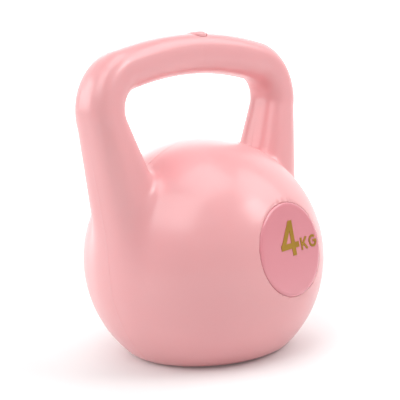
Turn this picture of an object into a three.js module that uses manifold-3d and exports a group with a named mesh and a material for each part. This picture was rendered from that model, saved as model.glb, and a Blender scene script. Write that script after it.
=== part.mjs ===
// A moulded kettlebell: a hollow plastic shell cast full of mortar, a push-in plug that closes the fill hole
// in the crown of the handle, and a domed round label on a flat seat on the ball, with the weight on it.
// Millimetres, +Z up. The origin is the middle of the flat base. The handle's loop stands in the XZ plane,
// and the label looks along -Y.
import * as THREE from "three";
import { ParametricGeometry } from "three/addons/geometries/ParametricGeometry.js";
import { mergeVertices } from "three/addons/utils/BufferGeometryUtils.js";
import Module from "manifold-3d";

const wasm = await Module();
wasm.setup();

// ---- Driving dimensions ----

const ballRadius = 75;
const baseRadius = 48.7; // where the flat base cuts the ball

const gripClearance = 38.7; // from the top of the ball to the underside of the bar, at the middle
const crownRise = 15.6; // how much higher the bar's centre line is at the middle than at its corners
const cornerHalfSpan = 78; // from the middle to the corner where the bar and a leg would meet
const cornerBend = 24.8; // radius of the centre line round that corner
const footHalfSpan = 48; // from the middle to the foot of a leg's centre line
const footDrop = 5; // how far below the ball's centre the legs' centre lines start
const legBlend = 7; // how far the fillet between the legs and the ball reaches

// Half sizes of the handle's section: thick lies in the loop's plane, deep lies across it.
const barHalf = { thick: 12.4, deep: 11.8 };
const cornerHalf = { thick: 12, deep: 14.9 };
const footHalf = { thick: 24.3, deep: 26.4 };
const sectionSquareness = 2.5; // 2 is an ellipse, and larger is squarer

const wall = 2.5; // the shell's wall
const gap = 0.3; // clearance between pieces that touch

const fillHoleRadius = 7;
const fillHoleX = 3.5; // the fill hole's place on the crown
const fillHoleY = -2;
const plugProud = 0.6; // how far the plug's rim stands above the crown
const plugDepth = 6.5; // from the plug's rim to the bottom of its skirt
const plugDome = 0.5; // rise of the plug's top
const plugSkirt = 1.6; // wall of the skirt

const seatRadius = 27.5; // the label's flat seat
const seatDepth = 1; // below the plane of the seat's rim
const seatTurn = THREE.MathUtils.degToRad(3); // round the ball, from -Y towards +X
const seatLift = THREE.MathUtils.degToRad(8.4); // up the ball from its equator
const labelThickness = 1.3;
const labelEdge = 0.6; // thickness that is left at the label's rim
const labelBevel = 2.4; // width of the dome's curved rim

const markThickness = 0.25;
const markInset = 0.5; // from the last letter to the label's curved rim
const markRise = 6.3; // from the label's middle up to the middle of the figure
const figure = { width: 16.6, height: 20.6, stroke: 3.3, barHeight: 5.9, stemInset: 5.2 };
const letter = { width: 6.2, height: 7.4, stroke: 1.45, spacing: 1.7 };
const letterRise = 1.4; // from the label's middle up to the middle of the letters

// Grid of each surface: steps round the loop, and steps round its section.
const outerGrid = [66, 30];
const innerGrid = [44, 20];
const roundSteps = 44;

// ---- Places that follow from them ----

const ballHeight = Math.sqrt(ballRadius ** 2 - baseRadius ** 2); // of the ball's centre
const ballTop = ballHeight + ballRadius;
const barHeight = ballTop + gripClearance + barHalf.thick; // of the bar's centre line at the middle
const crownTop = barHeight + barHalf.thick;
const gripHeight = ballTop + gripClearance / 2; // of the axis through the middle of the grip's opening
const plugRadius = fillHoleRadius - gap;
const plugTop = crownTop + plugProud;
const plugBottom = plugTop - plugDepth;
const seatPlane = Math.sqrt(ballRadius ** 2 - seatRadius ** 2) - seatDepth; // from the ball's centre
const labelRadius = seatRadius - gap;
const labelBottom = seatPlane + gap;
const markBottom = labelBottom + labelThickness + gap;

// ---- Solids ----

// The closed geometry as a solid that can be joined and cut.
function solidOf(geometry) {
  const bare = geometry.clone();
  bare.deleteAttribute("normal");
  bare.deleteAttribute("uv");
  const merged = mergeVertices(bare, 1e-4);
  return new wasm.Manifold(
    new wasm.Mesh({
      numProp: 3,
      vertProperties: merged.attributes.position.array,
      triVerts: new Uint32Array(merged.index.array),
    }),
  );
}

// The solid as a geometry.
function geometryOf(solid) {
  const mesh = solid.getMesh();
  const geometry = new THREE.BufferGeometry();
  geometry.setAttribute("position", new THREE.BufferAttribute(mesh.vertProperties, 3));
  geometry.setIndex(new THREE.BufferAttribute(mesh.triVerts, 1));
  geometry.computeVertexNormals();
  return geometry;
}

// An upright cylinder from one height to another.
function upright(radius, bottom, top) {
  return new THREE.CylinderGeometry(radius, radius, top - bottom, roundSteps)
    .rotateX(Math.PI / 2)
    .translate(0, 0, (top + bottom) / 2);
}

// A lathe about +Z from a profile of [radius, height] points that starts and ends on the axis.
function turned(profile) {
  const points = profile.map(([radius, height]) => new THREE.Vector2(radius, height));
  return new THREE.LatheGeometry(points, roundSteps).rotateX(Math.PI / 2);
}

// ---- The body's surface ----

// Half of the handle's centre line, from the foot of the leg to the middle of the bar, as short straight
// pieces. Each point holds its place in the XZ plane and the section's half sizes there.
function centreLine() {
  const foot = new THREE.Vector2(footHalfSpan, ballHeight - footDrop);
  const corner = new THREE.Vector2(cornerHalfSpan, barHeight - crownRise);
  const alongLeg = foot.clone().sub(corner).normalize();
  const alongBar = new THREE.Vector2(-cornerHalfSpan, 2 * crownRise).normalize();
  const halfAngle = Math.acos(alongLeg.dot(alongBar)) / 2;
  const legEnd = corner.clone().addScaledVector(alongLeg, cornerBend / Math.tan(halfAngle));
  const barEnd = corner.clone().addScaledVector(alongBar, cornerBend / Math.tan(halfAngle));
  const bendCentre = alongLeg
    .clone()
    .add(alongBar)
    .normalize()
    .multiplyScalar(cornerBend / Math.sin(halfAngle))
    .add(corner);
  const bendStart = legEnd.clone().sub(bendCentre).angle();
  const bendEnd = barEnd.clone().sub(bendCentre).angle();
  const leg = new THREE.LineCurve(foot, legEnd);
  const bend = new THREE.EllipseCurve(
    bendCentre.x, bendCentre.y, cornerBend, cornerBend, bendStart - 2 * Math.PI, bendEnd,
  );
  const middle = new THREE.Vector2(0, barHeight);
  const bar = new THREE.QuadraticBezierCurve(barEnd, new THREE.Vector2(barEnd.x / 2, barHeight), middle);
  const barEndHalf = {
    thick: (cornerHalf.thick + barHalf.thick) / 2,
    deep: (cornerHalf.deep + barHalf.deep) / 2,
  };
  const stretches = [
    { curve: leg, steps: 10, from: footHalf, to: cornerHalf },
    { curve: bend, steps: 10, from: cornerHalf, to: barEndHalf },
    { curve: bar, steps: 10, from: barEndHalf, to: barHalf },
  ];
  return stretches.flatMap(({ curve, steps, from, to }, index) =>
    curve
      .getPoints(steps)
      .map((point, step) => ({
        x: point.x,
        z: point.y,
        thick: THREE.MathUtils.lerp(from.thick, to.thick, step / steps),
        deep: THREE.MathUtils.lerp(from.deep, to.deep, step / steps),
      }))
      .slice(index === 0 ? 0 : 1),
  );
}

const handleLine = centreLine();

// About how far a point is outside the handle: its section round the nearest point of the centre line.
function outsideHandle(x, y, z) {
  let nearest = Infinity;
  let thick = 0;
  let deep = 0;
  for (let i = 1; i < handleLine.length; i += 1) {
    const a = handleLine[i - 1];
    const b = handleLine[i];
    const dx = b.x - a.x;
    const dz = b.z - a.z;
    const along = ((x - a.x) * dx + (z - a.z) * dz) / (dx * dx + dz * dz);
    const share = THREE.MathUtils.clamp(along, 0, 1);
    const distance = Math.hypot(x - a.x - share * dx, z - a.z - share * dz);
    if (distance < nearest) {
      nearest = distance;
      thick = THREE.MathUtils.lerp(a.thick, b.thick, share);
      deep = THREE.MathUtils.lerp(a.deep, b.deep, share);
    }
  }
  const n = sectionSquareness;
  const reach = ((nearest / thick) ** n + (Math.abs(y) / deep) ** n) ** (1 / n);
  return (reach - 1) * Math.min(thick, deep);
}

// The smaller of two distances, with a fillet where they are about equal.
function smoothMin(a, b, blend) {
  const closeness = Math.max(blend - Math.abs(a - b), 0) / blend;
  return Math.min(a, b) - (closeness ** 2 * blend) / 4;
}

// About how far a point is outside the ball and the handle joined, before the base is cut flat.
function outsideBody(x, y, z) {
  const ball = Math.hypot(x, y, z - ballHeight) - ballRadius;
  return smoothMin(ball, outsideHandle(Math.abs(x), y, z), legBlend);
}

// The first place where a function of one number turns from not above zero to above it.
function crossing(value, start, step, end) {
  let inside = start;
  let outside = start + step;
  while (value(outside) <= 0 && outside < end) {
    inside = outside;
    outside += step;
  }
  for (let i = 0; i < 40; i += 1) {
    const middle = (inside + outside) / 2;
    if (value(middle) <= 0) inside = middle;
    else outside = middle;
  }
  return (inside + outside) / 2;
}

// The body's surface, or the surface a depth under it, on a grid that closes both ways like a ring's. u goes
// round the axis through the middle of the grip's opening, with more steps over the ball than over the bar,
// and v goes round the section in that half plane.
function bodySurface(depth) {
  return (u, v, target) => {
    const share = u % 1;
    const turn = 2 * Math.PI * share + 0.5 * Math.sin(2 * Math.PI * share);
    const [alongX, alongZ] = [Math.sin(turn), Math.cos(turn)];
    const field = (s, y) => outsideBody(s * alongX, y, gripHeight + s * alongZ);
    const near = crossing((s) => -field(s, 0), 0, 1, 3 * ballRadius);
    const far = crossing((s) => field(s, 0), near + 2, 2, 3 * ballRadius);
    const middle = (near + far) / 2;
    const angle = 2 * Math.PI * (v % 1);
    const [outward, across] = [Math.cos(angle), Math.sin(angle)];
    const underSurface = (r) => field(middle + r * outward, r * across) + depth;
    const radius = crossing(underSurface, 0, 1, 3 * ballRadius);
    const s = middle + radius * outward;
    target.set(s * alongX, radius * across, gripHeight + s * alongZ);
  };
}

// The solid inside that surface, cut flat at the same depth over the base.
function bodySolid(depth, [roundLoop, roundSection]) {
  const whole = solidOf(new ParametricGeometry(bodySurface(depth), roundLoop, roundSection));
  const side = 4 * ballRadius;
  const under = new THREE.BoxGeometry(side, side, side).translate(0, 0, depth - side / 2);
  return whole.subtract(solidOf(under));
}

// ---- Frames ----

// The fill hole's axis, and the label's face: its origin is the ball's centre, +Z looks out through the
// middle of the label, and +Y points up it.
const fillHoleFrame = new THREE.Group();
fillHoleFrame.position.set(fillHoleX, fillHoleY, 0);

const labelTurn = new THREE.Group();
labelTurn.position.set(0, 0, ballHeight);
labelTurn.rotation.z = seatTurn;
const labelFrame = new THREE.Group();
labelFrame.rotation.x = Math.PI / 2 - seatLift;
labelTurn.add(labelFrame);

// A tool's solid in the part's own frame.
function placed(geometry, frame) {
  frame.updateWorldMatrix(true, false);
  return solidOf(geometry.clone().applyMatrix4(frame.matrixWorld));
}

// Everything over the label's seat, grown by a clearance on each side.
function seatCutter(growth) {
  return placed(upright(seatRadius + growth, seatPlane - growth, 2 * ballRadius), labelFrame);
}

const fillHoleCutter = placed(upright(fillHoleRadius, plugBottom - gap, 2 * crownTop), fillHoleFrame);

// ---- Pieces ----

function shellGeometry() {
  const hollow = bodySolid(wall, innerGrid).subtract(seatCutter(wall));
  return geometryOf(
    bodySolid(0, outerGrid).subtract(hollow).subtract(fillHoleCutter).subtract(seatCutter(0)),
  );
}

function coreGeometry() {
  return geometryOf(
    bodySolid(wall + gap, innerGrid).subtract(seatCutter(wall + gap)).subtract(fillHoleCutter),
  );
}

// A cup turned over: a slightly domed top on a skirt with a lead-in at its lower edge.
function plugGeometry() {
  const leadIn = plugSkirt / 2;
  const shoulder = gap;
  return turned([
    [0, plugTop - plugSkirt],
    [plugRadius - plugSkirt, plugTop - plugSkirt],
    [plugRadius - plugSkirt, plugBottom],
    [plugRadius - leadIn, plugBottom],
    [plugRadius, plugBottom + leadIn],
    [plugRadius, plugTop - shoulder],
    [plugRadius - shoulder, plugTop],
    [plugRadius / 2, plugTop + 0.75 * plugDome],
    [0, plugTop + plugDome],
  ]);
}

// A disc with a rim that curves down, a quarter of an ellipse.
function labelGeometry() {
  const steps = 6;
  const rim = Array.from({ length: steps + 1 }, (_, step) => {
    const angle = ((Math.PI / 2) * step) / steps;
    return [
      labelRadius - labelBevel * (1 - Math.cos(angle)),
      labelBottom + labelEdge + (labelThickness - labelEdge) * Math.sin(angle),
    ];
  });
  return turned([[0, labelBottom], [labelRadius, labelBottom], ...rim, [0, labelBottom + labelThickness]]);
}

// ---- The weight mark, in plain block strokes ----

// A straight stroke between two points, with square ends.
function straight(from, to, width) {
  const start = new THREE.Vector2(...from);
  const side = new THREE.Vector2(...to).sub(start).normalize().multiplyScalar(width / 2);
  const across = new THREE.Vector2(-side.y, side.x);
  const end = new THREE.Vector2(...to);
  return new THREE.Shape([
    start.clone().sub(across),
    end.clone().sub(across),
    end.clone().add(across),
    start.clone().add(across),
  ]);
}

// A bowl: part of a ring, from one angle to another against the clock.
function bowl(centre, radius, from, to, width) {
  const shape = new THREE.Shape();
  shape.absarc(...centre, radius + width / 2, from, to, false);
  shape.absarc(...centre, radius - width / 2, to, from, true);
  return shape;
}

// Strokes joined, trimmed to the glyph's cell, and raised to the mark's thickness. The cell's lower left
// corner is the glyph's origin.
function glyph(strokes, width, height) {
  const raised = { depth: markThickness, bevelEnabled: false, curveSegments: 14 };
  const joined = strokes
    .map((shape) => solidOf(new THREE.ExtrudeGeometry(shape, raised)))
    .reduce((sum, next) => sum.add(next));
  const cell = new THREE.BoxGeometry(width, height, 2 * markThickness).translate(width / 2, height / 2, 0);
  return geometryOf(joined.intersect(solidOf(cell.translate(0, 0, markThickness))));
}

function figureFour() {
  const { width, height, stroke, barHeight: bar, stemInset } = figure;
  const stem = width - stemInset;
  return glyph(
    [
      straight([stem, 0], [stem, height], stroke),
      straight([0, bar], [width, bar], stroke),
      straight([stroke * 0.55, bar], [stem, height - stroke * 0.1], stroke),
    ],
    width,
    height,
  );
}

function letterK() {
  const { width, height, stroke } = letter;
  return glyph(
    [
      straight([stroke / 2, 0], [stroke / 2, height], stroke),
      straight([stroke / 2, height * 0.3], [width, height * 1.06], stroke),
      straight([width * 0.35, height * 0.6], [width, -height * 0.06], stroke),
    ],
    width,
    height,
  );
}

function letterG() {
  const { width, height, stroke } = letter;
  const radius = (height - stroke) / 2;
  const centre = [height / 2, height / 2];
  const barEnd = height / 2 + radius;
  return glyph(
    [
      bowl(centre, radius, Math.PI / 4, 2 * Math.PI, stroke),
      straight([height * 0.52, height / 2], [barEnd + stroke / 2, height / 2], stroke),
    ],
    Math.max(width, height),
    height,
  );
}

// ---- The object ----

const finishes = {
  shell: new THREE.MeshStandardMaterial({ color: 0xf3b6b9, roughness: 0.42, metalness: 0 }),
  mortar: new THREE.MeshStandardMaterial({ color: 0x9a9690, roughness: 0.95, metalness: 0 }),
  label: new THREE.MeshStandardMaterial({ color: 0xe8949c, roughness: 0.18, metalness: 0 }),
  foil: new THREE.MeshStandardMaterial({ color: 0xb8862b, roughness: 0.3, metalness: 0.9 }),
};

function piece(name, geometry, finish) {
  const mesh = new THREE.Mesh(geometry, finish);
  mesh.name = name;
  return mesh;
}

const kettlebell = new THREE.Group();
kettlebell.add(
  piece("moulded_shell", shellGeometry(), finishes.shell),
  piece("mortar_core", coreGeometry(), finishes.mortar),
  fillHoleFrame,
  labelTurn,
);
fillHoleFrame.add(piece("fill_plug", plugGeometry(), finishes.shell));
labelFrame.add(piece("front_label", labelGeometry(), finishes.label));

// The marks stand in one row that ends just inside the label's curved rim.
const rowEnd = labelRadius - labelBevel - markInset;
const letterGX = rowEnd - letter.height;
const letterKX = letterGX - letter.spacing - letter.width;
const figureX = letterKX - letter.spacing - figure.width;
const marks = [
  ["weight_figure", figureFour(), figureX, markRise - figure.height / 2],
  ["unit_letter_k", letterK(), letterKX, letterRise - letter.height / 2],
  ["unit_letter_g", letterG(), letterGX, letterRise - letter.height / 2],
];
for (const [name, geometry, x, y] of marks) {
  const mark = piece(name, geometry, finishes.foil);
  mark.position.set(x, y, markBottom);
  labelFrame.add(mark);
}

export default kettlebell;
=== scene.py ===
"""The finished look of a moulded kettlebell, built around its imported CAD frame.

The shell is a smooth surface worked out from the same sizes as the CAD solid, with the marks of its
making: the mould's parting line, the label's seat and the fill hole. The plug and the domed label are
turned profiles, and the CAD marks get gold foil. Units are metres, +Z is up, and the label looks
along -Y.
"""

import logging
import math
from dataclasses import dataclass, field
from enum import Enum

import bpy
import numpy as np
from mathutils import Matrix, Vector


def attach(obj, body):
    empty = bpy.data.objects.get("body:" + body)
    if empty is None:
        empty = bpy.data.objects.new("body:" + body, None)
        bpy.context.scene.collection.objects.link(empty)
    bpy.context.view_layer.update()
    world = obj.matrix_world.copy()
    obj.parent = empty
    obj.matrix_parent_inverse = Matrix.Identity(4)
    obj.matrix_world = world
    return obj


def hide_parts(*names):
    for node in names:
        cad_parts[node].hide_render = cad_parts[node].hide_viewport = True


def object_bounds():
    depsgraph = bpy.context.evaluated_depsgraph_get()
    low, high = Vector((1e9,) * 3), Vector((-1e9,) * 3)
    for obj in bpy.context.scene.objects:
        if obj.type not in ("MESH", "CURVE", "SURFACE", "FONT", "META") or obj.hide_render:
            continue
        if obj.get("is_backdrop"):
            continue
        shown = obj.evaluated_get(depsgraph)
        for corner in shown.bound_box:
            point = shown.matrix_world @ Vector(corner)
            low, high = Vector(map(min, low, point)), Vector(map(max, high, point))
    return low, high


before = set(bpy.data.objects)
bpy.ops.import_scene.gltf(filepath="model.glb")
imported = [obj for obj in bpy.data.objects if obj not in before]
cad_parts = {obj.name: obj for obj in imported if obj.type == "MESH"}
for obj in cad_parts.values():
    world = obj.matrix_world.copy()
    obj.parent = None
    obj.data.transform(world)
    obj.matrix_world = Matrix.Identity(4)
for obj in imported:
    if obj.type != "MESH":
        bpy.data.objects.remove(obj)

LOG = logging.getLogger("kettlebell")
MM = 0.001
PROBE = 0.01 * MM  # the step over which a slope is measured
SKIN_CREASE = 42  # degrees: the skin's edges that are sharper than this stay crisp
TURNED_CREASE = 50  # the same for the plug and the label


# ---------------------------------------------------------------------------------------------------
# The body's form
# ---------------------------------------------------------------------------------------------------


@dataclass(frozen=True)
class HalfSection:
    """Half sizes of the handle's section: thick lies in the loop's plane, deep lies across it."""

    thick: float
    deep: float

    def between(self, other: "HalfSection", share: np.ndarray) -> np.ndarray:
        """Both half sizes on the way to another section, as rows, by linear interpolation."""
        start, end = np.array([self.thick, self.deep]), np.array([other.thick, other.deep])
        return start + (end - start) * np.asarray(share)[:, None]


@dataclass(frozen=True)
class BodyForm:
    """The ball, the flat base and the handle's loop, as one smooth implicit form."""

    ball_radius: float = 75 * MM
    base_radius: float = 48.7 * MM
    base_edge: float = 4.0 * MM
    grip_clearance: float = 38.7 * MM
    crown_rise: float = 15.6 * MM
    corner_half_span: float = 78 * MM
    corner_bend: float = 24.8 * MM
    foot_half_span: float = 48 * MM
    foot_drop: float = 5 * MM
    leg_blend: float = 7 * MM
    squareness: float = 2.5
    bar: HalfSection = HalfSection(12.4 * MM, 11.8 * MM)
    corner: HalfSection = HalfSection(12 * MM, 14.9 * MM)
    foot: HalfSection = HalfSection(24.3 * MM, 26.4 * MM)

    @property
    def ball_height(self) -> float:
        """Height of the ball's centre over the base."""
        return math.sqrt(self.ball_radius**2 - self.base_radius**2)

    @property
    def bar_height(self) -> float:
        """Height of the bar's centre line at the middle."""
        return self.ball_height + self.ball_radius + self.grip_clearance + self.bar.thick

    @property
    def crown_top(self) -> float:
        """Height of the top of the bar at the middle."""
        return self.bar_height + self.bar.thick

    @property
    def grip_height(self) -> float:
        """Height of the axis through the middle of the grip's opening."""
        return self.ball_height + self.ball_radius + self.grip_clearance / 2

    def centre_line(self, steps: int = 26) -> np.ndarray:
        """The handle's centre line on the +X side, as rows of x, z, half thick and half deep.

        A straight leg, then an arc tangent to the leg and to the bar's chord at the corner, then a
        parabola that is level at the middle: z = top - drop * (x / end)^2.

        Args:
            steps: Number of pieces in each of the three stretches.

        Returns:
            The points from the foot to the middle of the bar.
        """
        foot = np.array([self.foot_half_span, self.ball_height - self.foot_drop])
        corner = np.array([self.corner_half_span, self.bar_height - self.crown_rise])
        along_leg = (foot - corner) / np.linalg.norm(foot - corner)
        along_bar = np.array([-self.corner_half_span, 2 * self.crown_rise])
        along_bar /= np.linalg.norm(along_bar)
        half_angle = math.acos(along_leg @ along_bar) / 2
        back_off = self.corner_bend / math.tan(half_angle)
        leg_end, bar_end = corner + along_leg * back_off, corner + along_bar * back_off
        inward = (along_leg + along_bar) / np.linalg.norm(along_leg + along_bar)
        centre = corner + inward * self.corner_bend / math.sin(half_angle)
        start = math.atan2(*(leg_end - centre)[::-1])
        end = math.atan2(*(bar_end - centre)[::-1])

        share = np.linspace(0, 1, steps + 1)
        angle = start + (end - start) * share
        leg = foot + (leg_end - foot) * share[:, None]
        bend = centre + self.corner_bend * np.stack([np.cos(angle), np.sin(angle)], axis=1)
        bar_x = bar_end[0] * (1 - share)
        drop = self.bar_height - bar_end[1]
        bar = np.stack([bar_x, self.bar_height - drop * (bar_x / bar_end[0]) ** 2], axis=1)
        between = HalfSection(
            (self.corner.thick + self.bar.thick) / 2, (self.corner.deep + self.bar.deep) / 2
        )
        stretches = [
            np.hstack([leg, self.foot.between(self.corner, share)]),
            np.hstack([bend, self.corner.between(between, share)])[1:],
            np.hstack([bar, between.between(self.bar, share)])[1:],
        ]
        return np.vstack(stretches)

    def outside_handle(self, point: np.ndarray) -> np.ndarray:
        """About how far points are outside the handle.

        The section at the nearest place of the centre line is a superellipse, so with d the distance
        from the line in the loop's plane, ((d / thick)^n + (|y| / deep)^n)^(1/n) - 1 is 0 on the
        surface; it is scaled by the smaller half size to read as a distance.

        Args:
            point: Rows of x, y and z.

        Returns:
            One distance for each row.
        """
        x, y, z = np.abs(point[:, 0]), np.abs(point[:, 1]), point[:, 2]
        line = self.centre_line()
        nearest = np.full(x.shape, np.inf)
        thick, deep = np.ones_like(x), np.ones_like(x)
        for a, b in zip(line[:-1], line[1:]):
            step = b[:2] - a[:2]
            share = np.clip(((x - a[0]) * step[0] + (z - a[1]) * step[1]) / (step @ step), 0, 1)
            distance = np.hypot(x - a[0] - share * step[0], z - a[1] - share * step[1])
            closer = distance < nearest
            nearest = np.where(closer, distance, nearest)
            thick = np.where(closer, a[2] + share * (b[2] - a[2]), thick)
            deep = np.where(closer, a[3] + share * (b[3] - a[3]), deep)
        n = self.squareness
        reach = ((nearest / thick) ** n + (y / deep) ** n) ** (1 / n)
        return (reach - 1) * np.minimum(thick, deep)

    def outside(self, point: np.ndarray, cut_base: bool = True) -> np.ndarray:
        """About how far points are outside the whole body.

        The ball and the handle are joined by the polynomial smooth minimum,
        min(a, b) - (max(k - |a - b|, 0) / k)^2 * k / 4, and the base is cut with the matching maximum.

        Args:
            point: Rows of x, y and z.
            cut_base: Whether the flat base is cut.

        Returns:
            One distance for each row, below zero inside.
        """
        centre = np.array([0, 0, self.ball_height])
        ball = np.linalg.norm(point - centre, axis=1) - self.ball_radius
        joined = smooth_min(ball, self.outside_handle(point), self.leg_blend)
        return -smooth_min(-joined, point[:, 2], self.base_edge) if cut_base else joined

    def normals(self, point: np.ndarray, reach: float = 0.02 * MM) -> np.ndarray:
        """Unit normals at points near the surface: the distance's gradient by central differences."""
        slopes = [
            self.outside(point + reach * axis) - self.outside(point - reach * axis) for axis in np.eye(3)
        ]
        slope = np.stack(slopes, axis=1)
        return slope / np.linalg.norm(slope, axis=1, keepdims=True)


def smooth_min(a: np.ndarray, b: np.ndarray, blend: float) -> np.ndarray:
    """The smaller of two distances, with a fillet where they are within blend of each other."""
    closeness = np.maximum(blend - np.abs(a - b), 0) / blend
    return np.minimum(a, b) - closeness**2 * blend / 4


def ease(value: np.ndarray, low: float, high: float) -> np.ndarray:
    """0 below low, 1 above high and t^2 (3 - 2 t) between them."""
    share = np.clip((value - low) / (high - low), 0, 1)
    return share * share * (3 - 2 * share)


def gather(distance: np.ndarray, reach: float, power: float = 1.5) -> np.ndarray:
    """Signed distances from an edge, drawn towards it: d (|d| / reach)^power within reach of it."""
    share = np.abs(distance) / reach
    return np.where(share < 1, distance * share**power, distance)


# ---------------------------------------------------------------------------------------------------
# Meshes from arrays
# ---------------------------------------------------------------------------------------------------


def mesh_piece(name: str, vertices: np.ndarray, quads: np.ndarray,
               sharp_angle: float) -> bpy.types.Object:
    """Makes a mesh object at the origin from whole arrays, with its faces pointing out.

    Args:
        name: The piece's name.
        vertices: Rows of x, y and z.
        quads: Rows of four vertex numbers. A repeated number makes a triangle at a pole.
        sharp_angle: Edges sharper than this, in degrees, stay crisp.

    Returns:
        The object, linked to the scene.
    """
    a, b, c, d = (vertices[quads[:, i]] for i in range(4))
    volume = np.einsum("ij,ij->i", a, np.cross(b, c)) + np.einsum("ij,ij->i", a, np.cross(c, d))
    if volume.sum() < 0:
        quads = quads[:, ::-1]
    faces = [tuple(dict.fromkeys(row)) for row in quads.tolist()]
    mesh = bpy.data.meshes.new(name)
    mesh.from_pydata(vertices.tolist(), [], faces)
    mesh.polygons.foreach_set("use_smooth", np.ones(len(mesh.polygons), bool))
    mesh.set_sharp_from_angle(angle=math.radians(sharp_angle))
    mesh.update()
    piece = bpy.data.objects.new(name, mesh)
    bpy.context.scene.collection.objects.link(piece)
    return piece


def ring_quads(rows: int, columns: int) -> np.ndarray:
    """Vertex numbers of the quads of a grid that closes on itself both ways."""
    row, column = np.meshgrid(np.arange(rows), np.arange(columns), indexing="ij")
    next_row, next_column = (row + 1) % rows, (column + 1) % columns
    corners = [
        row * columns + column,
        next_row * columns + column,
        next_row * columns + next_column,
        row * columns + next_column,
    ]
    return np.stack([corner.ravel() for corner in corners], axis=1)


def turned_grid(profile: np.ndarray, steps: int) -> tuple[np.ndarray, np.ndarray]:
    """A profile turned about +Z: (r cos t, r sin t, h) for every profile point and angle t.

    Args:
        profile: Rows of radius and height, which start and end on the axis.
        steps: Number of angles.

    Returns:
        The vertices, with one vertex for each pole, and the quads.
    """
    angle = np.linspace(0, 2 * math.pi, steps, endpoint=False)
    inner = profile[1:-1]
    x = inner[:, :1] * np.cos(angle)
    y = inner[:, :1] * np.sin(angle)
    z = np.broadcast_to(inner[:, 1:], x.shape)
    body = np.stack([x, y, z], axis=-1).reshape(-1, 3)
    poles = np.array([[0, 0, profile[0, 1]], [0, 0, profile[-1, 1]]])
    rows = len(inner)
    row, column = np.meshgrid(np.arange(rows - 1), np.arange(steps), indexing="ij")
    following = (column + 1) % steps
    corners = [row * steps + column, row * steps + following, (row + 1) * steps + following,
               (row + 1) * steps + column]
    sides = np.stack([corner.ravel() for corner in corners], axis=1)
    around, after = np.arange(steps), (np.arange(steps) + 1) % steps
    first, last = np.full(steps, rows * steps), np.full(steps, rows * steps + 1)
    start_cap = np.stack([first, first, after, around], axis=1)
    end_row = (rows - 1) * steps
    end_cap = np.stack([last, last, end_row + around, end_row + after], axis=1)
    return np.vstack([body, poles]), np.vstack([sides, start_cap, end_cap])


# ---------------------------------------------------------------------------------------------------
# Finishes
# ---------------------------------------------------------------------------------------------------


class Nodes:
    """A small helper that adds and links nodes in one node tree."""

    def __init__(self, tree: bpy.types.NodeTree) -> None:
        """Keeps the tree."""
        self.tree = tree

    def add(self, kind: str, **settings: object) -> bpy.types.Node:
        """Adds a node and sets the named properties on it."""
        node = self.tree.nodes.new(kind)
        for name, value in settings.items():
            setattr(node, name, value)
        return node

    def link(self, source: bpy.types.NodeSocket, target: bpy.types.NodeSocket) -> None:
        """Links two sockets."""
        self.tree.links.new(source, target)

    def noise(self, vector: bpy.types.NodeSocket, scale: float, detail: float,
              roughness: float = 0.5) -> bpy.types.NodeSocket:
        """A noise texture's value at a position."""
        node = self.add("ShaderNodeTexNoise")
        node.inputs["Scale"].default_value = scale
        node.inputs["Detail"].default_value = detail
        node.inputs["Roughness"].default_value = roughness
        self.link(vector, node.inputs["Vector"])
        return node.outputs["Fac"]

    def remap(self, value: bpy.types.NodeSocket, low: float, high: float, to_low: float,
              to_high: float) -> bpy.types.NodeSocket:
        """A value moved from one range to another and held inside it."""
        node = self.add("ShaderNodeMapRange", clamp=True)
        limits = {"From Min": low, "From Max": high, "To Min": to_low, "To Max": to_high}
        for name, number in limits.items():
            node.inputs[name].default_value = number
        self.link(value, node.inputs["Value"])
        return node.outputs["Result"]

    def maths(self, operation: str, first: object, second: object) -> bpy.types.NodeSocket:
        """The result of an operation on two sockets or numbers."""
        node = self.add("ShaderNodeMath", operation=operation)
        for value, socket in zip((first, second), node.inputs):
            if isinstance(value, (int, float)):
                socket.default_value = value
            else:
                self.link(value, socket)
        return node.outputs[0]

    def mixed(self, share: bpy.types.NodeSocket, first: object, second: object) -> bpy.types.NodeSocket:
        """A mix of two colours, each a socket or red, green and blue."""
        node = self.add("ShaderNodeMix", data_type="RGBA")
        self.link(share, node.inputs["Factor"])
        for value, socket in zip((first, second), (node.inputs[6], node.inputs[7])):
            if isinstance(value, tuple):
                socket.default_value = (*value, 1)
            else:
                self.link(value, socket)
        return node.outputs[2]


def effect_group(name: str, inputs: dict[str, float], outputs: tuple[str, ...]) -> tuple[
        bpy.types.NodeTree, Nodes, bpy.types.Node, bpy.types.Node]:
    """Starts a shader node group with number inputs, a Position input and number outputs.

    Args:
        name: The group's name.
        inputs: Each number input's name and default.
        outputs: The outputs' names.

    Returns:
        The group, its node helper, its input node and its output node.
    """
    group = bpy.data.node_groups.new(name, "ShaderNodeTree")
    group.interface.new_socket("Position", in_out="INPUT", socket_type="NodeSocketVector")
    for label, default in inputs.items():
        socket = group.interface.new_socket(label, in_out="INPUT", socket_type="NodeSocketFloat")
        socket.default_value = default
    for label in outputs:
        group.interface.new_socket(label, in_out="OUTPUT", socket_type="NodeSocketFloat")
    nodes = Nodes(group)
    return group, nodes, nodes.add("NodeGroupInput"), nodes.add("NodeGroupOutput")


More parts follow.
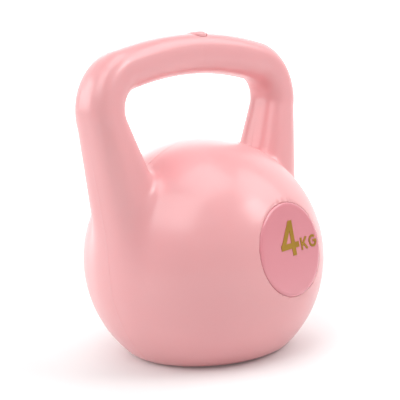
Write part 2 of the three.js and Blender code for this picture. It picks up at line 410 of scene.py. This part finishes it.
def moulding_skin_group() -> bpy.types.NodeTree:
    """The skin of blow-moulded plastic: slow waves, orange peel and a fine grain.

    Height is waves + peel + grain, each a noise at its own scale. Tone drifts slowly over the piece.
    """
    group, nodes, start, end = effect_group(
        "moulding_skin", {"Peel": 0.35, "Grain": 0.2}, ("Height", "Tone", "Gloss")
    )
    position = start.outputs["Position"]
    waves = nodes.noise(position, 55, 2)
    peel = nodes.maths("MULTIPLY", nodes.noise(position, 620, 2), start.outputs["Peel"])
    grain = nodes.maths("MULTIPLY", nodes.noise(position, 3600, 1), start.outputs["Grain"])
    height = nodes.maths("ADD", nodes.maths("ADD", waves, peel), grain)
    nodes.link(height, end.inputs["Height"])
    nodes.link(nodes.remap(nodes.noise(position, 16, 3), 0.3, 0.7, 0, 1), end.inputs["Tone"])
    nodes.link(nodes.remap(nodes.noise(position, 42, 4, 0.6), 0.3, 0.7, 0, 1), end.inputs["Gloss"])
    return group


def handling_group() -> bpy.types.NodeTree:
    """Traces of handling: sparse fine scuffs, which are stretched noise, and specks of dust."""
    group, nodes, start, end = effect_group("handling_traces", {"Amount": 1.0}, ("Scuffs", "Dust"))
    stretch = nodes.add("ShaderNodeMapping")
    stretch.inputs["Scale"].default_value = (40, 260, 900)
    stretch.inputs["Rotation"].default_value = (0.5, 0.9, 0.2)
    nodes.link(start.outputs["Position"], stretch.inputs["Vector"])
    lines = nodes.remap(nodes.noise(stretch.outputs["Vector"], 1, 3), 0.66, 0.78, 0, 1)
    patches = nodes.remap(nodes.noise(start.outputs["Position"], 28, 2), 0.52, 0.66, 0, 1)
    scuffs = nodes.maths("MULTIPLY", nodes.maths("MULTIPLY", lines, patches), start.outputs["Amount"])
    specks = nodes.add("ShaderNodeTexVoronoi")
    specks.inputs["Scale"].default_value = 210
    nodes.link(start.outputs["Position"], specks.inputs["Vector"])
    dots = nodes.remap(specks.outputs["Distance"], 0.03, 0.07, 1, 0)
    dust = nodes.maths("MULTIPLY", nodes.maths("MULTIPLY", dots, patches), start.outputs["Amount"])
    nodes.link(scuffs, end.inputs["Scuffs"])
    nodes.link(dust, end.inputs["Dust"])
    return group


@dataclass
class SharedEffects:
    """The node groups that several finishes use, built once."""

    skin: bpy.types.NodeTree = field(default_factory=moulding_skin_group)
    handling: bpy.types.NodeTree = field(default_factory=handling_group)

    def place(self, nodes: Nodes, group: bpy.types.NodeTree, **values: float) -> bpy.types.Node:
        """Puts a group into a material on Object coordinates, with its own values."""
        node = nodes.add("ShaderNodeGroup", node_tree=group)
        position = nodes.add("ShaderNodeTexCoord").outputs["Object"]
        nodes.link(position, node.inputs["Position"])
        for name, value in values.items():
            node.inputs[name.capitalize()].default_value = value
        return node


def new_material(name: str, sockets: dict[str, object]) -> tuple[
        bpy.types.Material, Nodes, bpy.types.Node]:
    """Makes a material with one Principled shader and sets constant sockets on the shader itself."""
    material = bpy.data.materials.new(name)
    material.use_nodes = True
    shader = material.node_tree.nodes["Principled BSDF"]
    for socket, value in sockets.items():
        shader.inputs[socket].default_value = value
    return material, Nodes(material.node_tree), shader


def add_relief(nodes: Nodes, shader: bpy.types.Node, height: bpy.types.NodeSocket, strength: float,
               distance: float) -> None:
    """Bumps a shader's normal by a height.

    Args:
        nodes: The material's node helper.
        shader: The shader whose normal is bumped.
        height: The socket that gives the height.
        strength: The bump's strength.
        distance: How far a height of 1 stands out.
    """
    relief = nodes.add("ShaderNodeBump")
    relief.inputs["Strength"].default_value = strength
    relief.inputs["Distance"].default_value = distance
    nodes.link(height, relief.inputs["Height"])
    nodes.link(relief.outputs["Normal"], shader.inputs["Normal"])


@dataclass(frozen=True)
class MouldedPlastic:
    """Satin coloured plastic as it comes from the mould."""

    name: str
    colour: tuple[float, float, float]
    shade: tuple[float, float, float]
    roughness: tuple[float, float] = (0.285, 0.34)
    bump: float = 0.05
    relief: float = 0.2 * MM
    coat: float = 0.22
    coat_roughness: float = 0.14
    translucence: float = 0.12
    light_reach: float = 4 * MM

    def material(self, effects: SharedEffects) -> bpy.types.Material:
        """Builds the material: the tone drifts between two pinks, and the gloss drifts too."""
        material, nodes, shader = new_material(
            self.name,
            {
                "IOR": 1.49,
                "Coat Weight": self.coat,
                "Coat Roughness": self.coat_roughness,
                "Subsurface Weight": self.translucence,
                "Subsurface Radius": (1.0, 0.45, 0.4),
                "Subsurface Scale": self.light_reach,
            },
        )
        skin = effects.place(nodes, effects.skin)
        tone = nodes.mixed(skin.outputs["Tone"], self.colour, self.shade)
        nodes.link(tone, shader.inputs["Base Color"])
        gloss = nodes.remap(skin.outputs["Gloss"], 0, 1, *self.roughness)
        nodes.link(gloss, shader.inputs["Roughness"])
        add_relief(nodes, shader, skin.outputs["Height"], self.bump, self.relief)
        return material


@dataclass(frozen=True)
class LabelFilm:
    """Glossy film under a clear dome, a deeper colour than the shell."""

    name: str
    colour: tuple[float, float, float]
    shade: tuple[float, float, float]
    speck: tuple[float, float, float] = (0.85, 0.6, 0.6)
    speck_share: float = 0.2
    roughness: tuple[float, float] = (0.22, 0.27)
    bump: float = 0.012
    relief: float = 0.2 * MM

    def material(self, effects: SharedEffects) -> bpy.types.Material:
        """Builds the material: a printed colour that drifts a little under a clear coat."""
        coat = {"Coat Weight": 0.6, "Coat Roughness": 0.08, "Coat IOR": 1.5}
        material, nodes, shader = new_material(self.name, {"IOR": 1.5, **coat})
        skin = effects.place(nodes, effects.skin, peel=0.1, grain=0.02)
        traces = effects.place(nodes, effects.handling, amount=0.3)
        tone = nodes.mixed(skin.outputs["Tone"], self.colour, self.shade)
        dust = nodes.maths("MULTIPLY", traces.outputs["Dust"], self.speck_share)
        nodes.link(nodes.mixed(dust, tone, self.speck), shader.inputs["Base Color"])
        gloss = nodes.remap(skin.outputs["Gloss"], 0, 1, *self.roughness)
        nodes.link(gloss, shader.inputs["Roughness"])
        add_relief(nodes, shader, skin.outputs["Height"], self.bump, self.relief)
        return material


@dataclass(frozen=True)
class GoldFoil:
    """Hot-stamped gold foil."""

    name: str
    colour: tuple[float, float, float]
    shade: tuple[float, float, float]
    metal: float = 0.85
    scuff_share: float = 0.4
    roughness: tuple[float, float] = (0.3, 0.42)
    bump: float = 0.12
    relief: float = 0.1 * MM

    def material(self, effects: SharedEffects) -> bpy.types.Material:
        """Builds the material: metal whose tone and gloss vary with the press of the stamp."""
        material, nodes, shader = new_material(self.name, {"Metallic": self.metal, "IOR": 1.5})
        skin = effects.place(nodes, effects.skin, peel=1.0, grain=0.5)
        traces = effects.place(nodes, effects.handling, amount=1.0)
        tone = nodes.mixed(skin.outputs["Tone"], self.colour, self.shade)
        scuffs = nodes.maths("MULTIPLY", traces.outputs["Scuffs"], self.scuff_share)
        nodes.link(nodes.mixed(scuffs, tone, self.shade), shader.inputs["Base Color"])
        gloss = nodes.remap(skin.outputs["Gloss"], 0, 1, *self.roughness)
        nodes.link(gloss, shader.inputs["Roughness"])
        add_relief(nodes, shader, skin.outputs["Height"], self.bump, self.relief)
        return material


@dataclass(frozen=True)
class CastMortar:
    """Grey mortar with sand grains and air pores, as it sets inside the shell."""

    name: str
    colour: tuple[float, float, float]
    grain: tuple[float, float, float]
    # near-black painted shade for the inside of the pores
    pore_shade: tuple[float, float, float] = (0.08, 0.075, 0.07)
    roughness: tuple[float, float] = (0.82, 0.98)
    bump: float = 0.6
    relief: float = 0.4 * MM

    def material(self, effects: SharedEffects) -> bpy.types.Material:
        """Builds the material: grains are cells of their own tone, and pores are dented pits whose
        darkness is painted shade.
        """
        material, nodes, shader = new_material(self.name, {"IOR": 1.45})
        position = nodes.add("ShaderNodeTexCoord").outputs["Object"]
        cells = nodes.add("ShaderNodeTexVoronoi")
        cells.inputs["Scale"].default_value = 520
        nodes.link(position, cells.inputs["Vector"])
        grains = nodes.remap(cells.outputs["Distance"], 0.15, 0.5, 1, 0)
        pores = nodes.remap(nodes.noise(position, 240, 3), 0.62, 0.7, 0, 1)
        tone = nodes.mixed(grains, self.colour, self.grain)
        # painted shade: the pores are coloured near-black to stand in for the shadow inside each pit
        nodes.link(nodes.mixed(pores, tone, self.pore_shade), shader.inputs["Base Color"])
        rough = nodes.remap(nodes.noise(position, 90, 2), 0.3, 0.7, *self.roughness)
        nodes.link(rough, shader.inputs["Roughness"])
        add_relief(nodes, shader, nodes.maths("SUBTRACT", grains, pores), self.bump, self.relief)
        return material


# ---------------------------------------------------------------------------------------------------
# Sub-assemblies
# ---------------------------------------------------------------------------------------------------


@dataclass(frozen=True)
class LabelSeat:
    """The label's flat seat on the ball: its frame, its rim and its depth."""

    form: BodyForm
    radius: float = 27.5 * MM
    depth: float = 1.0 * MM
    turn: float = math.radians(3)
    lift: float = math.radians(8.4)

    @property
    def plane(self) -> float:
        """Distance of the seat's floor from the ball's centre."""
        return math.sqrt(self.form.ball_radius**2 - self.radius**2) - self.depth

    @property
    def axes(self) -> np.ndarray:
        """Rows that are the label's right, its up and its outward direction."""
        sin_turn, cos_turn = math.sin(self.turn), math.cos(self.turn)
        right = np.array([cos_turn, sin_turn, 0])
        level = np.array([sin_turn, -cos_turn, 0])
        up = np.array([0, 0, 1.0])
        out = level * math.cos(self.lift) + up * math.sin(self.lift)
        return np.stack([right, np.cross(out, right), out])

    @property
    def centre(self) -> np.ndarray:
        """The ball's centre."""
        return np.array([0, 0, self.form.ball_height])

    def to_label(self, point: np.ndarray) -> np.ndarray:
        """Points in the label's frame: right, up and out from the ball's centre."""
        return (point - self.centre) @ self.axes.T

    def from_label(self, place: np.ndarray) -> np.ndarray:
        """Points of the label's frame in the part's frame."""
        return place @ self.axes + self.centre


@dataclass(frozen=True)
class FillHole:
    """The upright fill hole in the crown."""

    radius: float = 7 * MM
    x: float = 3.5 * MM
    y: float = -2 * MM


class SeamPart(Enum):
    """The stretches of the mould's parting line, each with how far the line stands out."""

    BALL = 0.16 * MM
    HANDLE = 0.05 * MM
    BASE = -0.25 * MM


@dataclass
class Shell:
    """The blow-moulded skin, ball and handle in one."""

    form: BodyForm
    seat: LabelSeat
    hole: FillHole
    loop_steps: int = 310
    section_steps: int = 288
    ball_share: float = 0.42
    ray_samples: int = 451
    ray_reach: float = 3.0  # in ball radii
    march_start: float = 1 * MM
    march_steps: int = 16
    march_share: float = 0.97
    secant_steps: int = 4
    least_slope: float = 0.12
    seam_width: float = 0.45 * MM
    seam_fade: float = 25 * MM
    seam_handle_share: float = 0.75  # of the bar's height, where the handle's ridge is fully reached
    seam_base_facing: tuple[float, float] = (0.7, 0.98)
    wall_rounding: float = 0.16 * MM
    seat_reach: float = 3.5 * MM
    hole_reach: float = 2.2 * MM
    hole_depth: float = 3 * MM
    drop_steps: int = 6
    least_rise: float = 0.2

    def section_angles(self) -> np.ndarray:
        """Angles round the section: even steps, and finer ones beside the parting line."""
        even = np.linspace(0, 2 * math.pi, self.section_steps, endpoint=False)
        beside = np.radians([-1.0, -0.66, -0.4, -0.2, 0.2, 0.4, 0.66, 1.0])
        return np.unique(np.concatenate([even, beside % (2 * math.pi), math.pi + beside]))

    def loop_turns(self) -> np.ndarray:
        """Turns round the grip's axis: 2 pi t + k sin(2 pi t), which is denser over the ball."""
        share = np.linspace(0, 1, self.loop_steps, endpoint=False)
        return 2 * math.pi * share + self.ball_share * np.sin(2 * math.pi * share)

    def section_middles(self, turns: np.ndarray) -> np.ndarray:
        """For each turn, the middle of the stretch that the grip's radius cuts from the body."""
        reach = np.linspace(0, self.ray_reach * self.form.ball_radius, self.ray_samples)
        s, turn = np.meshgrid(reach, turns)
        point = np.stack([s * np.sin(turn), 0 * s, self.form.grip_height + s * np.cos(turn)], axis=-1)
        value = self.form.outside(point.reshape(-1, 3), cut_base=False).reshape(s.shape)
        inside = value < 0
        rows = np.arange(len(turns))
        first = inside.argmax(axis=1)
        last = len(reach) - 1 - inside[:, ::-1].argmax(axis=1)
        step = reach[1]
        enter = value[rows, first - 1] / (value[rows, first - 1] - value[rows, first])
        leave = value[rows, last] / (value[rows, last] - value[rows, last + 1])
        return (reach[first - 1] + enter * step + reach[last] + leave * step) / 2

    def surface(self) -> tuple[np.ndarray, np.ndarray, np.ndarray]:
        """The smooth body on a grid that closes both ways like a ring's.

        u turns a half plane round the axis through the middle of the grip, v turns a ray in that half
        plane round the section's middle, and each vertex is the first place where the ray leaves the
        body, found by stepping along it by the distance that is left and then by secant steps.

        Returns:
            The vertices, row by row, the turns of the rows and the angles of the columns.
        """
        turns, angles = self.loop_turns(), self.section_angles()
        middles = self.section_middles(turns)
        turn, angle = (grid.ravel() for grid in np.meshgrid(turns, angles, indexing="ij"))
        middle = np.repeat(middles, len(angles))
        radial = np.stack([np.sin(turn), 0 * turn, np.cos(turn)], axis=1)
        ray = radial * np.cos(angle)[:, None] + np.array([0, 1, 0]) * np.sin(angle)[:, None]
        start = radial * middle[:, None] + np.array([0, 0, self.form.grip_height])
        length = np.full(len(turn), self.march_start)
        for _ in range(self.march_steps):
            left = -self.form.outside(start + ray * length[:, None])
            length += np.maximum(left, 0) * self.march_share
        for _ in range(self.secant_steps):
            here = self.form.outside(start + ray * length[:, None])
            there = self.form.outside(start + ray * (length + PROBE)[:, None])
            length -= here / np.maximum((there - here) / PROBE, self.least_slope)
        return start + ray * length[:, None], turns, angles

    def with_seam(self, point: np.ndarray) -> np.ndarray:
        """Raises the parting line: a ridge h exp(-(y / w)^2) where the surface meets y = 0."""
        normal = self.form.normals(point)
        handle_height = self.seam_handle_share * self.form.bar_height
        on_handle = ease(point[:, 2], handle_height - self.seam_fade, handle_height)
        height = SeamPart.BALL.value + (SeamPart.HANDLE.value - SeamPart.BALL.value) * on_handle
        on_base = ease(-normal[:, 2], *self.seam_base_facing)
        height = height + (SeamPart.BASE.value - height) * on_base
        facing = 1 - normal[:, 1] ** 2
        ridge = height * facing * np.exp(-((point[:, 1] / self.seam_width) ** 2))
        return point + normal * ridge[:, None]

    def with_seat(self, point: np.ndarray) -> np.ndarray:
        """Sinks the label's seat.

        In the label's frame, radii near the rim are drawn to it, and the height runs from the seat's
        floor to the ball's own height, sqrt(R^2 - r^2), in a narrow eased step at the rim.
        """
        seat, form, reach = self.seat, self.form, self.seat_reach
        place = seat.to_label(point)
        radius = np.hypot(place[:, 0], place[:, 1])
        near = (place[:, 2] > 0) & (radius < seat.radius + reach)
        from_rim = gather(radius[near] - seat.radius, reach)
        new_radius = seat.radius + from_rim
        share = ease(from_rim, -self.wall_rounding, self.wall_rounding)
        on_ball = np.sqrt(form.ball_radius**2 - new_radius**2)
        moved = place[near]
        moved[:, :2] *= (new_radius / np.maximum(radius[near], 1e-9))[:, None]
        moved[:, 2] = seat.plane + (on_ball - seat.plane) * share
        result = point.copy()
        result[near] = seat.from_label(moved)
        return result

    def with_hole(self, point: np.ndarray) -> np.ndarray:
        """Sinks the mouth of the fill hole.

        Radii about the hole's axis near its edge are drawn to it, each point is brought back onto the
        body straight up or down, and points inside the edge go down by the depth in an eased step.
        """
        hole, reach = self.hole, self.hole_reach
        offset = point[:, :2] - np.array([hole.x, hole.y])
        radius = np.hypot(offset[:, 0], offset[:, 1])
        near = (point[:, 2] > self.form.bar_height) & (radius < hole.radius + reach)
        from_edge = gather(radius[near] - hole.radius, reach)
        new_radius = hole.radius + from_edge
        moved = point[near]
        scale = (new_radius / np.maximum(radius[near], 1e-9))[:, None]
        moved[:, :2] = np.array([hole.x, hole.y]) + offset[near] * scale
        for _ in range(self.drop_steps):
            here = self.form.outside(moved)
            there = self.form.outside(moved + np.array([0, 0, PROBE]))
            moved[:, 2] -= here / np.maximum((there - here) / PROBE, self.least_rise)
        share = ease(from_edge, -self.wall_rounding, self.wall_rounding)
        moved[:, 2] -= self.hole_depth * (1 - share)
        result = point.copy()
        result[near] = moved
        return result

    def build(self, finish: MouldedPlastic, effects: SharedEffects) -> bpy.types.Object:
        point, turns, angles = self.surface()
        point = self.with_hole(self.with_seat(self.with_seam(point)))
        piece = mesh_piece("shell_skin", point, ring_quads(len(turns), len(angles)), SKIN_CREASE)
        piece.data.materials.append(finish.material(effects))
        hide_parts("moulded_shell")
        return piece


@dataclass
class Plug:
    """The push-in plug that closes the fill hole, seated with a slight lean."""

    form: BodyForm
    hole: FillHole
    clearance: float = 0.28 * MM
    proud: float = 0.0 * MM
    depth: float = 6.0 * MM
    edge: float = 2.6 * MM
    dome: float = 0.8 * MM
    lean: float = math.radians(2.0)
    lean_towards: float = math.radians(-40)
    face_rows: int = 12
    edge_rows: int = 8
    steps: int = 96

    def profile(self) -> np.ndarray:
        """Radius and height from the top's middle: a dome r^2, a round edge and a straight side."""
        outer = self.hole.radius - self.clearance
        flat = np.linspace(0, outer - self.edge, self.face_rows)
        top = self.dome * (1 - (flat / outer) ** 2)
        angle = np.linspace(0, math.pi / 2, self.edge_rows)[1:]
        drop = self.dome * (1 - ((outer - self.edge) / outer) ** 2)
        edge_radius = outer - self.edge + self.edge * np.sin(angle)
        edge = np.stack([edge_radius, drop - self.edge * (1 - np.cos(angle))], axis=1)
        rows = [np.stack([flat, top], axis=1), edge, [[outer, -self.depth], [0, -self.depth]]]
        return np.vstack(rows)

    def build(self, finish: MouldedPlastic, effects: SharedEffects) -> bpy.types.Object:
        vertices, quads = turned_grid(self.profile(), self.steps)
        axis = Vector((-math.sin(self.lean_towards), math.cos(self.lean_towards), 0))
        tilt = np.array(Matrix.Rotation(-self.lean, 3, axis))
        seat = np.array([self.hole.x, self.hole.y, self.form.crown_top + self.proud])
        piece = mesh_piece("plug_cap", vertices @ tilt.T + seat, quads, TURNED_CREASE)
        piece.data.materials.append(finish.material(effects))
        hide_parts("fill_plug")
        return piece


@dataclass
class Label:
    """The round domed label on its seat."""

    seat: LabelSeat
    clearance: float = 0.14 * MM
    thickness: float = 1.87 * MM
    edge: float = 0.75 * MM
    bevel: float = 2.6 * MM
    underside: float = 0.05 * MM
    face_rows: int = 10
    rim_rows: int = 18
    steps: int = 160

    def profile(self) -> np.ndarray:
        """Radius and height over the seat: flat, a quarter ellipse down to the rim, and the side."""
        outer = self.seat.radius - self.clearance
        angle = np.linspace(math.pi / 2, 0, self.rim_rows)
        rim = np.stack(
            [
                outer - self.bevel * (1 - np.cos(angle)),
                self.edge + (self.thickness - self.edge) * np.sin(angle),
            ],
            axis=1,
        )
        flat = np.linspace(0, outer - self.bevel, self.face_rows)[:-1]
        face = np.stack([flat, np.full_like(flat, self.thickness)], axis=1)
        return np.vstack([face, rim, [[outer, self.underside], [0, self.underside]]])

    def build(self, finish: LabelFilm, effects: SharedEffects) -> bpy.types.Object:
        vertices, quads = turned_grid(self.profile(), self.steps)
        placed = self.seat.from_label(vertices + np.array([0, 0, self.seat.plane]))
        piece = mesh_piece("label_dome", placed, quads, TURNED_CREASE)
        piece.data.materials.append(finish.material(effects))
        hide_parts("front_label")
        return piece


# ---------------------------------------------------------------------------------------------------
# The studio
# ---------------------------------------------------------------------------------------------------


@dataclass(frozen=True)
class Softbox:
    """A square soft light that looks at the kettlebell."""

    name: str
    azimuth: float
    elevation: float
    distance: float
    size: float
    power: float

    def build(self, target: Vector) -> None:
        """Adds the light. Azimuth 0 is in front, on the label's side, and 90 is towards +X."""
        a, e = math.radians(self.azimuth), math.radians(self.elevation)
        out = Vector((math.sin(a) * math.cos(e), -math.cos(a) * math.cos(e), math.sin(e)))
        light = bpy.data.lights.new(self.name, "AREA")
        light.shape = "SQUARE"
        light.size = self.size
        light.energy = self.power
        lamp = bpy.data.objects.new(self.name, light)
        lamp.location = target + out * self.distance
        lamp.rotation_mode = "QUATERNION"
        lamp.rotation_quaternion = out.to_track_quat("Z", "Y")
        bpy.context.scene.collection.objects.link(lamp)


@dataclass
class Studio:
    """A pale floor, soft lights and the camera."""

    lights: tuple[Softbox, ...] = (
        Softbox("front_key", 22, 37, 1.0, 0.3, 2.1),
        Softbox("front_right", 50, 44, 1.3, 0.8, 5.8),
        Softbox("back_left", -135, 24, 1.3, 0.8, 7.4),
        Softbox("left_top", -75, 50, 1.3, 0.8, 6.2),
        Softbox("back_right", 140, 22, 1.3, 0.8, 2.2),
        Softbox("top", 0, 82, 1.3, 0.8, 6.0),
    )
    world_strength: float = 0.2
    floor_glow: float = 0.02
    wall_glow: float = 0.9
    glow_reach: tuple[float, float] = (-0.1, 1.2)
    view_azimuth: float = 44.14
    view_elevation: float = 8.28
    view_roll: float = 3.83
    view_distance: float = 0.6
    focal_in_widths: float = 962.5 / 400
    aim_height: float = 92.7 * MM
    aim_right: float = 0.165 * MM
    floor_reach: float = 3.0
    floor_rows: int = 13
    floor_drop: float = 0.05 * MM  # keeps the floor just under the base
    curve_radius: float = 2.0
    curve_start: float = 0.1
    curve_rows: int = 12
    wall_top: float = 6.0
    half_width: float = 8.0
    columns: int = 9

    def build_floor(self) -> bpy.types.Object:
        """Adds a pale floor that curves up far behind, and marks it as staging.

        The profile is level, then a quarter circle r (sin t, 1 - cos t), then upright, carried straight
        across the view.

        Returns:
            The floor's object.
        """
        curve = np.linspace(self.curve_start, math.pi / 2, self.curve_rows)
        level = np.linspace(-self.floor_reach, self.floor_reach, self.floor_rows)
        depth = np.concatenate([level, self.floor_reach + self.curve_radius * np.sin(curve)])
        rise = np.concatenate([np.zeros(self.floor_rows), self.curve_radius * (1 - np.cos(curve))])
        depth = np.append(depth, self.floor_reach + self.curve_radius)
        rise = np.append(rise, self.wall_top)
        view = math.radians(self.view_azimuth)
        away = np.array([math.sin(view), math.cos(view)])
        side = np.array([away[1], -away[0]])
        across = np.linspace(-self.half_width, self.half_width, self.columns)
        xy = depth[:, None, None] * away + across[None, :, None] * side
        z = np.broadcast_to(rise[:, None, None] - self.floor_drop, (*xy.shape[:2], 1))
        vertices = np.concatenate([xy, z], axis=2).reshape(-1, 3)
        rows, columns = len(depth), len(across)
        row, column = np.meshgrid(np.arange(rows - 1), np.arange(columns - 1), indexing="ij")
        first = (row * columns + column).ravel()
        quads = np.stack([first, first + 1, first + columns + 1, first + columns], axis=1)
        mesh = bpy.data.meshes.new("studio_floor")
        mesh.from_pydata(vertices.tolist(), [], quads.tolist())
        mesh.polygons.foreach_set("use_smooth", np.ones(len(mesh.polygons), bool))
        floor = bpy.data.objects.new("studio_floor", mesh)
        bpy.context.scene.collection.objects.link(floor)
        material, nodes, shader = new_material("pale_floor", {"IOR": 1.4, "Roughness": 0.9})
        position = nodes.add("ShaderNodeTexCoord").outputs["Object"]
        tone = nodes.remap(nodes.noise(position, 3, 2), 0.3, 0.7, 0, 1)
        pale = nodes.mixed(tone, (0.79, 0.79, 0.79), (0.81, 0.81, 0.81))
        nodes.link(pale, shader.inputs["Base Color"])
        facing = nodes.add("ShaderNodeVectorMath", operation="DOT_PRODUCT")
        nodes.link(position, facing.inputs[0])
        facing.inputs[1].default_value = (*away, 0)
        near, far = self.glow_reach
        glow = nodes.remap(facing.outputs["Value"], near, far, self.floor_glow, self.wall_glow)
        shader.inputs["Emission Strength"].default_value = 1
        nodes.link(nodes.mixed(glow, (0, 0, 0), (1, 1, 1)), shader.inputs["Emission Color"])
        mesh.materials.append(material)
        floor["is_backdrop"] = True
        return floor

    def build_camera(self) -> None:
        """Adds the camera, which looks at the aim point and is rolled about that line."""
        a, e = math.radians(self.view_azimuth), math.radians(self.view_elevation)
        back = Vector((-math.sin(a) * math.cos(e), -math.cos(a) * math.cos(e), math.sin(e)))
        right = Vector((math.cos(a), -math.sin(a), 0))
        up = back.cross(right)
        roll = math.radians(self.view_roll)
        rolled_right = right * math.cos(roll) - up * math.sin(roll)
        rolled_up = right * math.sin(roll) + up * math.cos(roll)
        aim = Vector((0, 0, self.aim_height)) + right * self.aim_right
        data = bpy.data.cameras.new("view")
        data.sensor_width = 36
        data.lens = self.focal_in_widths * data.sensor_width
        data.clip_start, data.clip_end = 0.01, 50
        camera = bpy.data.objects.new("view", data)
        turn = Matrix((rolled_right, rolled_up, back)).transposed().to_4x4()
        camera.matrix_world = Matrix.Translation(aim + back * self.view_distance) @ turn
        bpy.context.scene.collection.objects.link(camera)
        bpy.context.scene.camera = camera

    def build(self, target: Vector) -> None:
        """Builds the floor, the lights, the white surroundings and the camera."""
        self.build_floor()
        for light in self.lights:
            light.build(target)
        world = bpy.data.worlds.new("studio")
        world.use_nodes = True
        world.node_tree.nodes["Background"].inputs["Color"].default_value = (1, 1, 1, 1)
        world.node_tree.nodes["Background"].inputs["Strength"].default_value = self.world_strength
        bpy.context.scene.world = world
        bpy.context.scene.view_settings.view_transform = "Standard"
        self.build_camera()


# ---------------------------------------------------------------------------------------------------
# The whole
# ---------------------------------------------------------------------------------------------------

SHELL_PINK = MouldedPlastic("shell_plastic", (0.83, 0.40, 0.41), (0.81, 0.38, 0.395))
PLUG_PINK = MouldedPlastic("plug_plastic", (0.83, 0.40, 0.41), (0.79, 0.37, 0.385), (0.285, 0.33))
LABEL_PINK = LabelFilm("label_film", (0.74, 0.27, 0.31), (0.71, 0.255, 0.295))
GOLD = GoldFoil("gold_foil", (0.62, 0.36, 0.055), (0.48, 0.26, 0.04))
MORTAR = CastMortar("cast_mortar", (0.27, 0.26, 0.245), (0.38, 0.34, 0.27))
MARKS = ("weight_figure", "unit_letter_k", "unit_letter_g")


def dress_frame_nodes(effects: SharedEffects) -> None:
    """Gives the CAD nodes that stay in view their finishes."""
    foil = GOLD.material(effects)
    mortar = MORTAR.material(effects)
    for name, material in [*((mark, foil) for mark in MARKS), ("mortar_core", mortar)]:
        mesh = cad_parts[name].data
        mesh.materials.clear()
        mesh.materials.append(material)


def corners(box: tuple[Vector, Vector]) -> list[list[float]]:
    """A box's two corners as plain lists."""
    return [list(corner) for corner in box]


def main() -> None:
    """Builds the kettlebell's pieces in order, then the studio, and reports each piece."""
    logging.basicConfig(level=logging.INFO, format="%(name)s: %(message)s")
    cad_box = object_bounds()
    effects = SharedEffects()
    form = BodyForm()
    seat = LabelSeat(form)
    hole = FillHole()
    pieces = [
        Shell(form, seat, hole).build(SHELL_PINK, effects),
        Plug(form, hole).build(PLUG_PINK, effects),
        Label(seat).build(LABEL_PINK, effects),
    ]
    for piece in pieces:
        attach(piece, "root")
        mesh = piece.data
        LOG.info("%s: %d vertices, %d faces", piece.name, len(mesh.vertices), len(mesh.polygons))
    dress_frame_nodes(effects)
    low, high = cad_box
    Studio().build((low + high) / 2)


if __name__ == "__main__":
    main()
